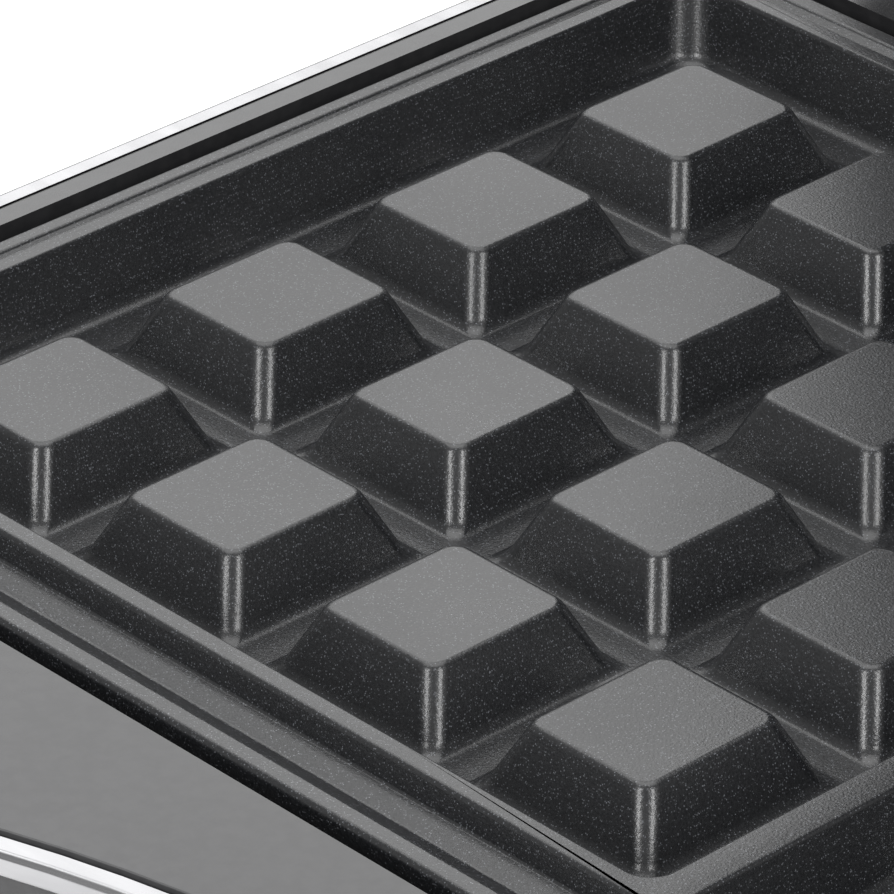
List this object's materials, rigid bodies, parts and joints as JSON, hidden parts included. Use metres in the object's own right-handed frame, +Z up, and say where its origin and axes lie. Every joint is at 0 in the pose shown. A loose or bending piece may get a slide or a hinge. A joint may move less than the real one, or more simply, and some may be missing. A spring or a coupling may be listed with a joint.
{
  "type": "waffle maker",
  "caption": "Electric waffle maker with square pockets, its lid hinged open at the back, a bridge handle and a sprung latch at the front.",
  "frame": {"origin": "on the table, under the middle of the box of the open machine", "axes": "+X along the machine, -Y to the front with the handle, +Z up"},
  "size_m": [0.2574, 0.237, 0.2728],
  "materials": {
    "coated_plate": "die-cast, dark grey non-stick coating with a fine metallic speckle",
    "deck_plastic": "smooth dark grey gloss",
    "shell_plastic": "near-black satin gloss, fine moulded texture",
    "bright_trim": "bright plated band",
    "top_panel": "brushed along the machine",
    "handle_plastic": "fine moulded grain",
    "element_steel": "drawn steel",
    "sheet_steel": "rolled sheet",
    "screw_steel": "zinc plated",
    "ceramic": "unglazed steatite",
    "lead_sleeve": "silicone over glass braid",
    "grommet": "moulded nylon",
    "foot_rubber": "soft matt",
    "red_lens": "clear red",
    "green_lens": "clear green",
    "lamp_glass": "clear"
  },
  "bodies": {
    "base": {"base_shell": "shell_plastic", "base_deck": "deck_plastic", "base_trim": "bright_trim", "lower_plate": "coated_plate", "lower_heater": "element_steel", "lower_heater_clamps": "sheet_steel", "lower_clamp_screws": "screw_steel", "lower_reflector": "sheet_steel", "lower_plate_screws": "screw_steel", "lower_fuse": "ceramic", "thermostat": "ceramic", "terminal_block": "ceramic", "base_wires": "lead_sleeve", "cord_gland": "grommet", "cord_clamp": "grommet", "cord_clamp_screws": "screw_steel", "base_feet": "foot_rubber", "base_screws": "screw_steel", "base_catch": "bright_trim", "hinge_pins": "element_steel"},
    "lid": {"lid_shell": "shell_plastic", "lid_top_panel": "top_panel", "lid_bezel": "deck_plastic", "lid_trim": "bright_trim", "upper_plate": "coated_plate", "upper_heater": "element_steel", "upper_heater_clamps": "sheet_steel", "upper_clamp_screws": "screw_steel", "upper_reflector": "sheet_steel", "upper_plate_screws": "screw_steel", "upper_fuse": "ceramic", "lid_wires": "lead_sleeve", "lid_handle": "handle_plastic", "handle_inlay": "top_panel", "handle_screws": "screw_steel", "power_lens": "red_lens", "ready_lens": "green_lens", "lamp_holder": "sheet_steel", "lamps": "lamp_glass", "latch_pin": "element_steel", "latch_spring": "element_steel"},
    "latch": {"latch_lever": "handle_plastic"}
  },
  "joints": [
    {"name": "lid_hinge", "type": "hinge", "parent": "base", "child": "lid", "pos_m": [0, 0.07135, 0.052], "axis": [1, 0, 0], "range_deg": [0, 90]},
    {"name": "latch_pivot", "type": "hinge", "parent": "lid", "child": "latch", "pos_m": [0, 0.08435, 0.2303], "axis": [-1, 0, 0], "range_deg": [0, 25], "stiffness_Nm_per_rad": 0.04, "springref_deg": -34.38, "deforming": ["latch_spring"]}
  ]
}
